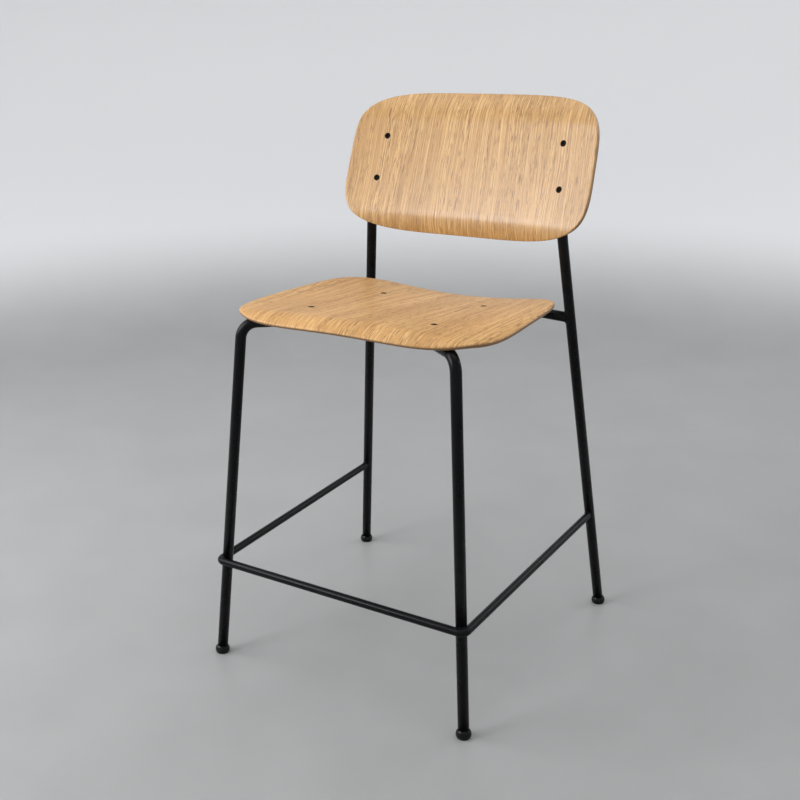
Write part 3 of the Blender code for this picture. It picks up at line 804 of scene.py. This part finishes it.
# %% [markdown]
# ## Footrest
# The footrest is one solid 14 mm rod, bent into a U. It hugs the outside of both front legs, which are let
# a little into it, so its two bends are centred on the legs. It climbs slightly to the rear legs, where
# its ends are welded on.

# %% Footrest rod
ROD_RADIUS = 0.0070
ROD_NOTCH = 0.0053  # how far each front leg is let into the rod
ROD_FRONT_Z = 0.1890
ROD_REAR_Z = 0.1990


def footrest_corner(leg, end, offset):
    """The right corner of the footrest, so that both runs pass the leg's axis at the same offset."""
    run = (leg - end).to_2d()
    run = Matrix.Rotation(asin(offset / run.length), 2) @ run
    share = (leg.y - offset - end.y) / run.y
    return Vector((end.x + run.x * share, leg.y - offset, leg.z))


lean = leg_at(FRONT_FOOT, FRONT_TOP, 1) - FRONT_FOOT
hug = (TUBE_RADIUS + ROD_RADIUS - ROD_NOTCH) * lean.length
rod_end = leg_at(REAR_FOOT, REAR_TOP, ROD_REAR_Z)
rod_leg = leg_at(FRONT_FOOT, FRONT_TOP, ROD_FRONT_Z)
rod_corner = footrest_corner(rod_leg, rod_end, hug)
rod_corners = [mirrored(rod_end, -1), mirrored(rod_corner, -1), rod_corner, rod_end]
rod_path = bent_path(rod_corners, (hug, hug))
shape = sweep(rod_path, ROD_RADIUS, 32)
bmesh.ops.holes_fill(shape, edges=shape.edges)
rod = new_object("footrest_rod_bent", shape)
finish_piece(rod, powder_coat, ["footrest_rod"])

# %% [markdown]
# ## Cross plates
# Two flat bars tie the rails together under the seat. Each is a bar with its sharp edges broken by a
# small bevel, as a bar from the mill has, and it runs into the rails where it is welded.

# %% Cross plates
PLATE_WIDTH = 0.025
PLATE_THICKNESS = 0.004
PLATE_FROM_SCREW = 0.033
PLATE_BEVEL = 0.0006


def plate_place(screw_place, inward):
    """The matrix of a plate's centre, with +X across the stool and +Y along the rails."""
    centre = fixing(seat_point, screw_place, SEAT_SPACER, 1)[2] + rail_run * inward * PLATE_FROM_SCREW
    matrix = standing((0, centre.y, centre.z), Vector((0, -rail_run.z, rail_run.y)), (1, 0, 0))
    return centre, matrix


plates = (("front", SEAT_ROWS[0][1], 1), ("rear", SEAT_ROWS[1][1], -1))
for row, screw_place, inward in plates:
    centre, matrix = plate_place(screw_place, inward)
    shape = bmesh.new()
    size = Matrix.Diagonal((2 * centre.x, PLATE_WIDTH, PLATE_THICKNESS, 1))
    bmesh.ops.create_cube(shape, size=1, matrix=matrix @ size)
    bmesh.ops.bevel(
        shape, geom=shape.edges[:], offset=PLATE_BEVEL, segments=3, profile=0.5, affect="EDGES", material=-1
    )
    plate = new_object(row + "_cross_plate_bar", shape)
    finish_piece(plate, powder_coat, [row + "_cross_plate"])

# %% [markdown]
# ## Welds
# On the real frame the joints are fused: a bead of weld runs round each one, under the same coat as the
# tube. A bead is a thin ring pushed along the line where two surfaces meet, and it swells a little at
# every drop of the weld pool. The line round a rod's end is where its surface meets the leg's, and a
# quadratic gives that point for each direction round the rod.

# %% Beads
DROP_PITCH = 0.0016
STUB_BEAD = 0.0016
ROD_BEAD = 0.0014
PLATE_BEAD = 0.0014
LEG_BEAD = 0.0012


def bead(name, path, radius, closed):
    """A rippled weld bead along closely spaced points."""
    travelled = 0
    swell = []
    for index, point in enumerate(path):
        travelled += (point - path[index - 1]).length if index else 0
        swell.append(1 + 0.12 * sin(2 * pi * travelled / DROP_PITCH) + 0.05 * sin(190 * travelled))
    shape = sweep(path, radius, 10, closed, swell)
    if not closed:
        bmesh.ops.holes_fill(shape, edges=shape.edges)
    return finish_piece(new_object(name, shape), powder_coat, [])


def meeting_line(end, arriving, radius, leg_direction, points):
    """Where a round bar of that radius, arriving at end on a leg's centre line, meets the leg's surface."""
    line = []
    matrix = standing(end, arriving, leg_direction)
    for index in range(points):
        turn = 2 * pi * index / points
        start = matrix @ Vector((radius * cos(turn), radius * sin(turn), 0)) - end
        flat_start = start - leg_direction * start.dot(leg_direction)
        flat_run = arriving - leg_direction * arriving.dot(leg_direction)
        a = flat_run.length_squared
        b = flat_start.dot(flat_run)
        c = flat_start.length_squared - TUBE_RADIUS**2
        line.append(end + start - arriving * (b + sqrt(max(0, b * b - a * c))) / a)
    return line


leg_direction = (REAR_TOP - REAR_FOOT).normalized()
stub_run = (stub_end - rail_rear).normalized()
rod_run = (rod_end - rod_corner).normalized()
for label, side in SIDES:
    direction = mirrored(leg_direction, side)
    line = meeting_line(mirrored(stub_end, side), mirrored(stub_run, side), TUBE_RADIUS, direction, 150)
    bead("stub_weld_" + label, line, STUB_BEAD, True)
    line = meeting_line(mirrored(rod_end, side), mirrored(rod_run, side), ROD_RADIUS, direction, 110)
    bead("footrest_end_weld_" + label, line, ROD_BEAD, True)

# %% Beads round the front legs and along the plates
WELD_RISE = 0.0068  # where the rod's surface meets the leg's, above and below the rod's centre
LEG_STANDOFF = 0.0004  # centre of the bead off the leg's surface
BEAD_SINK = 0.0003
PLATE_SHARE = 0.42  # of the plate's width, each way from its middle

for label, side in SIDES:
    hugging = [mirrored(point, side) for point in arc(mirrored(rod_corner, -1), rod_corner, rod_end, hug)]
    for edge, rise in (("under", -WELD_RISE), ("over", WELD_RISE)):
        here = mirrored(leg_at(FRONT_FOOT, FRONT_TOP, rod_leg.z + rise), side)
        outwards = [(point - mirrored(rod_leg, side)).normalized() for point in hugging]
        line = [here + out * (TUBE_RADIUS + LEG_STANDOFF) for out in outwards]
        bead(f"footrest_{edge}_weld_{label}", line, LEG_BEAD, False)
    for row, screw_place, inward in plates:
        centre, matrix = plate_place(screw_place, inward)
        for face, height in (("upper", 1), ("lower", -1)):
            lift = matrix.to_3x3() @ Vector((0, 0, height * (PLATE_THICKNESS / 2 + BEAD_SINK)))
            reach = TUBE_RADIUS - BEAD_SINK
            start = mirrored(centre - rail_run * PLATE_WIDTH * PLATE_SHARE, side)
            ending = mirrored(centre + rail_run * PLATE_WIDTH * PLATE_SHARE, side)
            inwards = Vector((-side * reach, 0, 0)) + lift
            line = [start.lerp(ending, part / 50) + inwards for part in range(51)]
            bead(f"{row}_plate_{face}_weld_{label}", line, PLATE_BEAD, False)

# %% [markdown]
# ## Screws
# The screws are M6 with a countersunk head and a hexagon socket. The head is turned with its rim broken
# by a small chamfer, and the socket is carved with a six-sided cutter that has a shallow cone at its
# mouth, as a socket gets from the punch.

# %% One screw
SCREW_LENGTH = 0.0240
SCREW_TIP = 0.0010
CHAMFER = 0.00025
SOCKET_RADIUS = 0.0023
SOCKET_DEPTH = 0.0020
MOUTH_REACH = 0.0003
SCREW_TURNS = 48
GROOVE_RADIUS = 0.0036  # a fine turned line round the socket
GROOVE_DEPTH = 0.00006

screw_outline = [
    (0, 0),
    (GROOVE_RADIUS, 0),
    (GROOVE_RADIUS + 0.0001, -GROOVE_DEPTH),
    (GROOVE_RADIUS + 0.0003, -GROOVE_DEPTH),
    (GROOVE_RADIUS + 0.0004, 0),
    (HEAD_RADIUS - CHAMFER, 0),
    (HEAD_RADIUS, -CHAMFER),
    (HEAD_RADIUS, -HEAD_RIM),
    (SCREW_RADIUS, -HEAD_HEIGHT),
    (SCREW_RADIUS, -SCREW_LENGTH + SCREW_TIP),
    (SCREW_RADIUS - SCREW_TIP, -SCREW_LENGTH),
    (0, -SCREW_LENGTH),
]
screw = new_object("screw_blank", turned(screw_outline, SCREW_TURNS))
socket_cutter = bmesh.new()
bmesh.ops.create_cone(
    socket_cutter, cap_ends=True, segments=6,
    radius1=SOCKET_RADIUS, radius2=SOCKET_RADIUS, depth=2 * SOCKET_DEPTH,
)
carve(screw, socket_cutter)
mouth_outline = [
    (0, -0.0008),
    (SOCKET_RADIUS * 0.80, -MOUTH_REACH),
    (SOCKET_RADIUS * 1.22, MOUTH_REACH),
    (0, MOUTH_REACH),
]
carve(screw, turned(mouth_outline, SCREW_TURNS))
screw_shape = bmesh.new()
screw_shape.from_mesh(screw.data)
bpy.data.objects.remove(screw)
print("screw", len(screw_shape.faces), "faces")

# %% [markdown]
# ## Spacers
# A plastic ring sits between shell and tube. Its lower end is a saddle that fits the tube, so the ring
# is turned, its rims are broken, and the tube's own cylinder is carved out of it.

# %% Spacer shapes
SPACER_RADIUS = 0.0080
SPACER_BORE = 0.0055


def spacer_shape(length):
    """A ring about +Z, over a tube that runs along X through the origin."""
    top = TUBE_RADIUS + length - GAP
    foot = TUBE_RADIUS - SPACER_RADIUS / 2
    ring = [
        (SPACER_BORE, foot),
        (SPACER_RADIUS, foot),
        (SPACER_RADIUS, top - CHAMFER * 2),
        (SPACER_RADIUS - CHAMFER * 2, top),
        (SPACER_BORE + CHAMFER, top),
        (SPACER_BORE, top - CHAMFER),
        (SPACER_BORE, foot),
    ]
    made = new_object("spacer_blank", turned(ring, 64))
    tube = bmesh.new()
    bmesh.ops.create_cone(
        tube, cap_ends=True, segments=96, radius1=TUBE_RADIUS + GAP / 2, radius2=TUBE_RADIUS + GAP / 2,
        depth=4 * SPACER_RADIUS, matrix=Matrix.Rotation(pi / 2, 4, "Y"),
    )
    carve(made, tube)
    shape = bmesh.new()
    shape.from_mesh(made.data)
    bpy.data.objects.remove(made)
    return shape


# %% Screws and spacers in their places
for group, surface, rows, length, run in GROUPS:
    ring = spacer_shape(length)
    for label, side in SIDES:
        for row, place in rows:
            face, normal, centre = fixing(surface, place, length, side)
            ending = f"{row}_{label}"
            shape = placed(screw_shape, standing(face + normal * HEAD_PROUD, normal))
            made = new_object(f"{group}_screw_{ending}_turned", shape)
            finish_piece(made, black_steel, [f"{group}_screw_{ending}"])
            shape = placed(ring, standing(centre, normal, mirrored(run, side)))
            made = new_object(f"{group}_spacer_{ending}_moulded", shape)
            finish_piece(made, nylon, [f"{group}_spacer_{ending}"])
            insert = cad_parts[f"{group}_insert_{ending}"]
            for slot in insert.material_slots:
                slot.material = zinc

# %% [markdown]
# ## Feet and plugs
# Each leg stands on a round nylon foot, whose stem is pushed into the tube. It is round so that it sits
# level on a leg that leans, and its underside is cut flat where it stands. The tops of the uprights are
# closed with low domed plugs.

# %% Foot outline
GLIDE_RADIUS = 0.0132
GLIDE_BELLY = 0.0060
GLIDE_HALF_HEIGHT = 0.0120
GLIDE_BELOW = 0.0042
STEM_RADIUS = 0.0077
STEM_LENGTH = 0.0200
STEM_CHAMFER = 0.001
HEAD_PARTS = 22

foot_outline = [
    (0, GLIDE_HEAD + STEM_LENGTH),
    (STEM_RADIUS - STEM_CHAMFER, GLIDE_HEAD + STEM_LENGTH),
    (STEM_RADIUS, GLIDE_HEAD + STEM_LENGTH - STEM_CHAMFER),
    (STEM_RADIUS, GLIDE_HEAD),
]
for part in range(HEAD_PARTS + 1):
    height = GLIDE_HEAD - (GLIDE_HEAD + GLIDE_BELOW) * part / HEAD_PARTS
    from_belly = (height - GLIDE_BELLY) / GLIDE_HALF_HEIGHT
    foot_outline.append((GLIDE_RADIUS * sqrt(1 - from_belly**2), height))
foot_outline.append((0, -GLIDE_BELOW))
foot_shape = turned(foot_outline, 64)

# %% Feet on the floor
for label, side in SIDES:
    for row, foot, top in (("front", FRONT_FOOT, FRONT_TOP), ("rear", REAR_FOOT, REAR_TOP)):
        shape = placed(foot_shape, standing(mirrored(foot, side), mirrored(top - foot, side)))
        everything = shape.verts[:] + shape.edges[:] + shape.faces[:]
        bmesh.ops.bisect_plane(
            shape, geom=everything, plane_co=(0, 0, 0), plane_no=(0, 0, 1), clear_inner=True
        )
        bmesh.ops.holes_fill(shape, edges=shape.edges)
        made = new_object(f"foot_glide_{row}_{label}_moulded", shape)
        finish_piece(made, nylon, [f"foot_glide_{row}_{label}"])

# %% Plugs
CAP_HEIGHT = 0.0035
CAP_RIM = 0.0014
dome = [(TUBE_RADIUS * sin(turn), GAP + CAP_RIM + (CAP_HEIGHT - CAP_RIM) * cos(turn)) for turn in quarter]
plug_outline = dome + [
    (TUBE_RADIUS, GAP),
    (STEM_RADIUS, GAP),
    (STEM_RADIUS, -STEM_LENGTH),
    (0, -STEM_LENGTH),
]
plug_shape = turned(plug_outline, 56)
for label, side in SIDES:
    shape = placed(plug_shape, standing(mirrored(upright_top, side), mirrored(upright_run, side)))
    made = new_object(f"upright_cap_{label}_moulded", shape)
    finish_piece(made, nylon, ["upright_cap_" + label])
